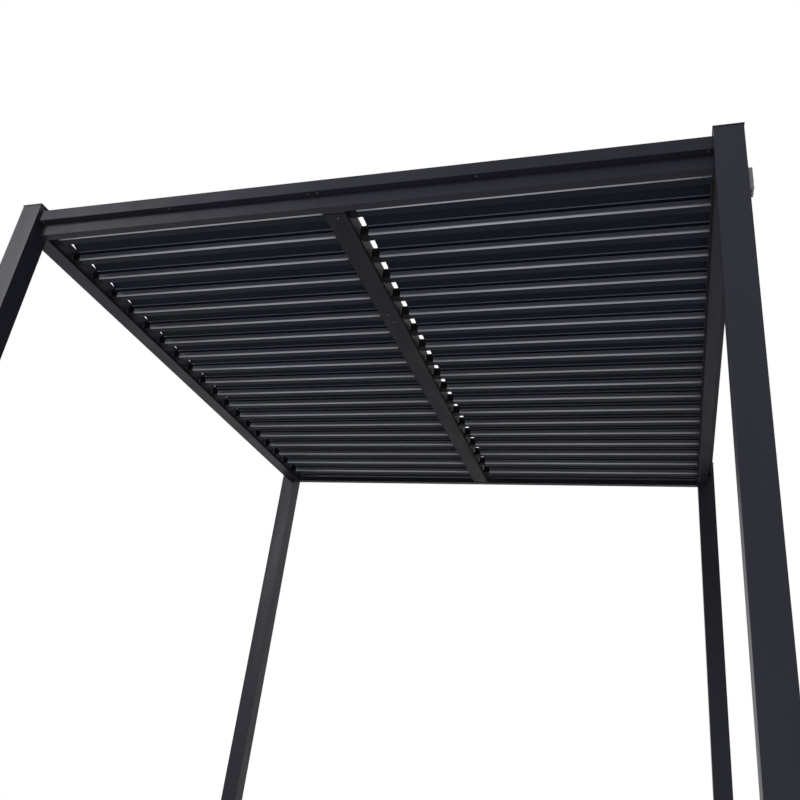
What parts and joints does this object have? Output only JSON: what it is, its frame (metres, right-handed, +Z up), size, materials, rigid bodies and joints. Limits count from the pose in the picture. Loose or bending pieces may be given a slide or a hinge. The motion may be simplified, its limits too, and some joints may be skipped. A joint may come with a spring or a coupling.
{
  "type": "louvered pergola",
  "caption": "Freestanding pergola: square posts, a rim of gutter beams, and banks of turning roof louvers either side of a centre beam.",
  "frame": {"origin": "on the floor, midway between the base plates", "axes": "+Z up, +X to the right seen from the front, the front faces -Y"},
  "size_m": [3.052, 3.162, 2.398],
  "materials": {
    "frame_coat": "fine-textured matt charcoal powder coat",
    "louver_coat": "fine-textured matt charcoal powder coat",
    "rail_coat": "matt black powder coat",
    "gearbox_cover": "smooth grey moulding"
  },
  "bodies": {
    "frame": {"post_front_left": "frame_coat", "post_front_right": "frame_coat", "post_rear_left": "frame_coat", "post_rear_right": "frame_coat", "post_caps": "frame_coat", "base_plates": "frame_coat", "beam_front": "frame_coat", "beam_rear": "frame_coat", "beam_left": "frame_coat", "beam_right": "frame_coat", "drain_wall_left": "frame_coat", "drain_wall_right": "frame_coat", "centre_beam": "frame_coat", "centre_cover_plate": "frame_coat", "gearbox_flange": "frame_coat", "crank_gearbox": "gearbox_cover", "pivot_rail_left_drive": "rail_coat", "pivot_rail_left_far": "rail_coat", "pivot_rail_right_drive": "rail_coat", "pivot_rail_right_far": "rail_coat"},
    "louver_left_01": {"louver_left_01": "louver_coat"},
    "louver_left_02": {"louver_left_02": "louver_coat"},
    "louver_left_03": {"louver_left_03": "louver_coat"},
    "louver_left_04": {"louver_left_04": "louver_coat"},
    "louver_left_05": {"louver_left_05": "louver_coat"},
    "louver_left_06": {"louver_left_06": "louver_coat"},
    "louver_left_07": {"louver_left_07": "louver_coat"},
    "louver_left_08": {"louver_left_08": "louver_coat"},
    "louver_left_09": {"louver_left_09": "louver_coat"},
    "louver_left_10": {"louver_left_10": "louver_coat"},
    "louver_left_11": {"louver_left_11": "louver_coat"},
    "louver_left_12": {"louver_left_12": "louver_coat"},
    "louver_left_13": {"louver_left_13": "louver_coat"},
    "louver_left_14": {"louver_left_14": "louver_coat"},
    "louver_left_15": {"louver_left_15": "louver_coat"},
    "louver_left_16": {"louver_left_16": "louver_coat"},
    "louver_left_17": {"louver_left_17": "louver_coat"},
    "louver_left_18": {"louver_left_18": "louver_coat"},
    "louver_left_19": {"louver_left_19": "louver_coat"},
    "link_bar_left": {"link_bar_left": "rail_coat"},
    "louver_right_01": {"louver_right_01": "louver_coat"},
    "louver_right_02": {"louver_right_02": "louver_coat"},
    "louver_right_03": {"louver_right_03": "louver_coat"},
    "louver_right_04": {"louver_right_04": "louver_coat"},
    "louver_right_05": {"louver_right_05": "louver_coat"},
    "louver_right_06": {"louver_right_06": "louver_coat"},
    "louver_right_07": {"louver_right_07": "louver_coat"},
    "louver_right_08": {"louver_right_08": "louver_coat"},
    "louver_right_09": {"louver_right_09": "louver_coat"},
    "louver_right_10": {"louver_right_10": "louver_coat"},
    "louver_right_11": {"louver_right_11": "louver_coat"},
    "louver_right_12": {"louver_right_12": "louver_coat"},
    "louver_right_13": {"louver_right_13": "louver_coat"},
    "louver_right_14": {"louver_right_14": "louver_coat"},
    "louver_right_15": {"louver_right_15": "louver_coat"},
    "louver_right_16": {"louver_right_16": "louver_coat"},
    "louver_right_17": {"louver_right_17": "louver_coat"},
    "louver_right_18": {"louver_right_18": "louver_coat"},
    "louver_right_19": {"louver_right_19": "louver_coat"},
    "link_bar_right": {"link_bar_right": "rail_coat"}
  },
  "joints": [
    {"name": "turn_left_01", "type": "hinge", "parent": "frame", "child": "louver_left_01", "pos_m": [-0.696, -1.427, 2.273], "axis": [1, 0, 0], "range_deg": [0, 90]},
    {"name": "turn_left_02", "type": "hinge", "parent": "frame", "child": "louver_left_02", "pos_m": [-0.696, -1.2734, 2.273], "axis": [1, 0, 0], "range_deg": [0, 90]},
    {"name": "turn_left_03", "type": "hinge", "parent": "frame", "child": "louver_left_03", "pos_m": [-0.696, -1.1198, 2.273], "axis": [1, 0, 0], "range_deg": [0, 90]},
    {"name": "turn_left_04", "type": "hinge", "parent": "frame", "child": "louver_left_04", "pos_m": [-0.696, -0.9662, 2.273], "axis": [1, 0, 0], "range_deg": [0, 90]},
    {"name": "turn_left_05", "type": "hinge", "parent": "frame", "child": "louver_left_05", "pos_m": [-0.696, -0.8126, 2.273], "axis": [1, 0, 0], "range_deg": [0, 90]},
    {"name": "turn_left_06", "type": "hinge", "parent": "frame", "child": "louver_left_06", "pos_m": [-0.696, -0.659, 2.273], "axis": [1, 0, 0], "range_deg": [0, 90]},
    {"name": "turn_left_07", "type": "hinge", "parent": "frame", "child": "louver_left_07", "pos_m": [-0.696, -0.5054, 2.273], "axis": [1, 0, 0], "range_deg": [0, 90]},
    {"name": "turn_left_08", "type": "hinge", "parent": "frame", "child": "louver_left_08", "pos_m": [-0.696, -0.3518, 2.273], "axis": [1, 0, 0], "range_deg": [0, 90]},
    {"name": "turn_left_09", "type": "hinge", "parent": "frame", "child": "louver_left_09", "pos_m": [-0.696, -0.1982, 2.273], "axis": [1, 0, 0], "range_deg": [0, 90]},
    {"name": "turn_left_10", "type": "hinge", "parent": "frame", "child": "louver_left_10", "pos_m": [-0.696, -0.0446, 2.273], "axis": [1, 0, 0], "range_deg": [0, 90]},
    {"name": "turn_left_11", "type": "hinge", "parent": "frame", "child": "louver_left_11", "pos_m": [-0.696, 0.109, 2.273], "axis": [1, 0, 0], "range_deg": [0, 90]},
    {"name": "turn_left_12", "type": "hinge", "parent": "frame", "child": "louver_left_12", "pos_m": [-0.696, 0.2626, 2.273], "axis": [1, 0, 0], "range_deg": [0, 90]},
    {"name": "turn_left_13", "type": "hinge", "parent": "frame", "child": "louver_left_13", "pos_m": [-0.696, 0.4162, 2.273], "axis": [1, 0, 0], "range_deg": [0, 90]},
    {"name": "turn_left_14", "type": "hinge", "parent": "frame", "child": "louver_left_14", "pos_m": [-0.696, 0.5698, 2.273], "axis": [1, 0, 0], "range_deg": [0, 90]},
    {"name": "turn_left_15", "type": "hinge", "parent": "frame", "child": "louver_left_15", "pos_m": [-0.696, 0.7234, 2.273], "axis": [1, 0, 0], "range_deg": [0, 90]},
    {"name": "turn_left_16", "type": "hinge", "parent": "frame", "child": "louver_left_16", "pos_m": [-0.696, 0.877, 2.273], "axis": [1, 0, 0], "range_deg": [0, 90]},
    {"name": "turn_left_17", "type": "hinge", "parent": "frame", "child": "louver_left_17", "pos_m": [-0.696, 1.0306, 2.273], "axis": [1, 0, 0], "range_deg": [0, 90]},
    {"name": "turn_left_18", "type": "hinge", "parent": "frame", "child": "louver_left_18", "pos_m": [-0.696, 1.1842, 2.273], "axis": [1, 0, 0], "range_deg": [0, 90]},
    {"name": "turn_left_19", "type": "hinge", "parent": "frame", "child": "louver_left_19", "pos_m": [-0.696, 1.3378, 2.273], "axis": [1, 0, 0], "range_deg": [0, 90]},
    {"name": "link_left", "type": "hinge", "parent": "louver_left_01", "child": "link_bar_left", "pos_m": [-1.352, -1.399, 2.335], "axis": [1, 0, 0], "range_deg": [-90, 0]},
    {"name": "turn_right_01", "type": "hinge", "parent": "frame", "child": "louver_right_01", "pos_m": [0.74, -1.427, 2.273], "axis": [1, 0, 0], "range_deg": [0, 90]},
    {"name": "turn_right_02", "type": "hinge", "parent": "frame", "child": "louver_right_02", "pos_m": [0.74, -1.2734, 2.273], "axis": [1, 0, 0], "range_deg": [0, 90]},
    {"name": "turn_right_03", "type": "hinge", "parent": "frame", "child": "louver_right_03", "pos_m": [0.74, -1.1198, 2.273], "axis": [1, 0, 0], "range_deg": [0, 90]},
    {"name": "turn_right_04", "type": "hinge", "parent": "frame", "child": "louver_right_04", "pos_m": [0.74, -0.9662, 2.273], "axis": [1, 0, 0], "range_deg": [0, 90]},
    {"name": "turn_right_05", "type": "hinge", "parent": "frame", "child": "louver_right_05", "pos_m": [0.74, -0.8126, 2.273], "axis": [1, 0, 0], "range_deg": [0, 90]},
    {"name": "turn_right_06", "type": "hinge", "parent": "frame", "child": "louver_right_06", "pos_m": [0.74, -0.659, 2.273], "axis": [1, 0, 0], "range_deg": [0, 90]},
    {"name": "turn_right_07", "type": "hinge", "parent": "frame", "child": "louver_right_07", "pos_m": [0.74, -0.5054, 2.273], "axis": [1, 0, 0], "range_deg": [0, 90]},
    {"name": "turn_right_08", "type": "hinge", "parent": "frame", "child": "louver_right_08", "pos_m": [0.74, -0.3518, 2.273], "axis": [1, 0, 0], "range_deg": [0, 90]},
    {"name": "turn_right_09", "type": "hinge", "parent": "frame", "child": "louver_right_09", "pos_m": [0.74, -0.1982, 2.273], "axis": [1, 0, 0], "range_deg": [0, 90]},
    {"name": "turn_right_10", "type": "hinge", "parent": "frame", "child": "louver_right_10", "pos_m": [0.74, -0.0446, 2.273], "axis": [1, 0, 0], "range_deg": [0, 90]},
    {"name": "turn_right_11", "type": "hinge", "parent": "frame", "child": "louver_right_11", "pos_m": [0.74, 0.109, 2.273], "axis": [1, 0, 0], "range_deg": [0, 90]},
    {"name": "turn_right_12", "type": "hinge", "parent": "frame", "child": "louver_right_12", "pos_m": [0.74, 0.2626, 2.273], "axis": [1, 0, 0], "range_deg": [0, 90]},
    {"name": "turn_right_13", "type": "hinge", "parent": "frame", "child": "louver_right_13", "pos_m": [0.74, 0.4162, 2.273], "axis": [1, 0, 0], "range_deg": [0, 90]},
    {"name": "turn_right_14", "type": "hinge", "parent": "frame", "child": "louver_right_14", "pos_m": [0.74, 0.5698, 2.273], "axis": [1, 0, 0], "range_deg": [0, 90]},
    {"name": "turn_right_15", "type": "hinge", "parent": "frame", "child": "louver_right_15", "pos_m": [0.74, 0.7234, 2.273], "axis": [1, 0, 0], "range_deg": [0, 90]},
    {"name": "turn_right_16", "type": "hinge", "parent": "frame", "child": "louver_right_16", "pos_m": [0.74, 0.877, 2.273], "axis": [1, 0, 0], "range_deg": [0, 90]},
    {"name": "turn_right_17", "type": "hinge", "parent": "frame", "child": "louver_right_17", "pos_m": [0.74, 1.0306, 2.273], "axis": [1, 0, 0], "range_deg": [0, 90]},
    {"name": "turn_right_18", "type": "hinge", "parent": "frame", "child": "louver_right_18", "pos_m": [0.74, 1.1842, 2.273], "axis": [1, 0, 0], "range_deg": [0, 90]},
    {"name": "turn_right_19", "type": "hinge", "parent": "frame", "child": "louver_right_19", "pos_m": [0.74, 1.3378, 2.273], "axis": [1, 0, 0], "range_deg": [0, 90]},
    {"name": "link_right", "type": "hinge", "parent": "louver_right_01", "child": "link_bar_right", "pos_m": [0.069, -1.399, 2.335], "axis": [1, 0, 0], "range_deg": [-90, 0]}
  ],
  "couplings": [
    {"joint": "turn_left_02", "follows": "turn_left_01", "ratio": 1},
    {"joint": "turn_left_03", "follows": "turn_left_01", "ratio": 1},
    {"joint": "turn_left_04", "follows": "turn_left_01", "ratio": 1},
    {"joint": "turn_left_05", "follows": "turn_left_01", "ratio": 1},
    {"joint": "turn_left_06", "follows": "turn_left_01", "ratio": 1},
    {"joint": "turn_left_07", "follows": "turn_left_01", "ratio": 1},
    {"joint": "turn_left_08", "follows": "turn_left_01", "ratio": 1},
    {"joint": "turn_left_09", "follows": "turn_left_01", "ratio": 1},
    {"joint": "turn_left_10", "follows": "turn_left_01", "ratio": 1},
    {"joint": "turn_left_11", "follows": "turn_left_01", "ratio": 1},
    {"joint": "turn_left_12", "follows": "turn_left_01", "ratio": 1},
    {"joint": "turn_left_13", "follows": "turn_left_01", "ratio": 1},
    {"joint": "turn_left_14", "follows": "turn_left_01", "ratio": 1},
    {"joint": "turn_left_15", "follows": "turn_left_01", "ratio": 1},
    {"joint": "turn_left_16", "follows": "turn_left_01", "ratio": 1},
    {"joint": "turn_left_17", "follows": "turn_left_01", "ratio": 1},
    {"joint": "turn_left_18", "follows": "turn_left_01", "ratio": 1},
    {"joint": "turn_left_19", "follows": "turn_left_01", "ratio": 1},
    {"joint": "link_left", "follows": "turn_left_01", "ratio": -1},
    {"joint": "turn_right_02", "follows": "turn_right_01", "ratio": 1},
    {"joint": "turn_right_03", "follows": "turn_right_01", "ratio": 1},
    {"joint": "turn_right_04", "follows": "turn_right_01", "ratio": 1},
    {"joint": "turn_right_05", "follows": "turn_right_01", "ratio": 1},
    {"joint": "turn_right_06", "follows": "turn_right_01", "ratio": 1},
    {"joint": "turn_right_07", "follows": "turn_right_01", "ratio": 1},
    {"joint": "turn_right_08", "follows": "turn_right_01", "ratio": 1},
    {"joint": "turn_right_09", "follows": "turn_right_01", "ratio": 1},
    {"joint": "turn_right_10", "follows": "turn_right_01", "ratio": 1},
    {"joint": "turn_right_11", "follows": "turn_right_01", "ratio": 1},
    {"joint": "turn_right_12", "follows": "turn_right_01", "ratio": 1},
    {"joint": "turn_right_13", "follows": "turn_right_01", "ratio": 1},
    {"joint": "turn_right_14", "follows": "turn_right_01", "ratio": 1},
    {"joint": "turn_right_15", "follows": "turn_right_01", "ratio": 1},
    {"joint": "turn_right_16", "follows": "turn_right_01", "ratio": 1},
    {"joint": "turn_right_17", "follows": "turn_right_01", "ratio": 1},
    {"joint": "turn_right_18", "follows": "turn_right_01", "ratio": 1},
    {"joint": "turn_right_19", "follows": "turn_right_01", "ratio": 1},
    {"joint": "link_right", "follows": "turn_right_01", "ratio": -1}
  ]
}
